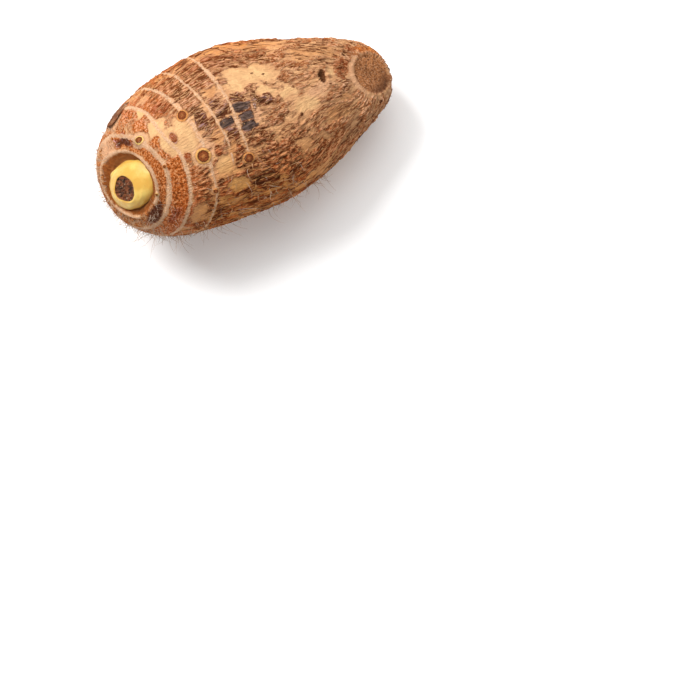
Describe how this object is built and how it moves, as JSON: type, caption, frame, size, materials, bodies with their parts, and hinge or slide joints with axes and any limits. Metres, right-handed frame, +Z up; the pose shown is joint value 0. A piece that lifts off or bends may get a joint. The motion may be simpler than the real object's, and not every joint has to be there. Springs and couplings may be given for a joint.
{
  "type": "taro root",
  "caption": "Small taro corm lying on its side, with leaf-scar rings, lateral eyes, a trimmed shoot bud in the crown and a flat break scar on the tail.",
  "frame": {"origin": "on the resting face, under the middle of the whole root's box", "axes": "+X along the root from the crown to the tail, +Z up from the surface it rests on"},
  "size_m": [0.087, 0.047, 0.0446],
  "materials": {
    "corky_skin": "matte",
    "shoot_flesh": "satin",
    "dry_scale": "matte"
  },
  "bodies": {
    "root": {"corm": "corky_skin", "shoot_bud": "shoot_flesh", "scale_leaf": "dry_scale"}
  },
  "joints": []
}
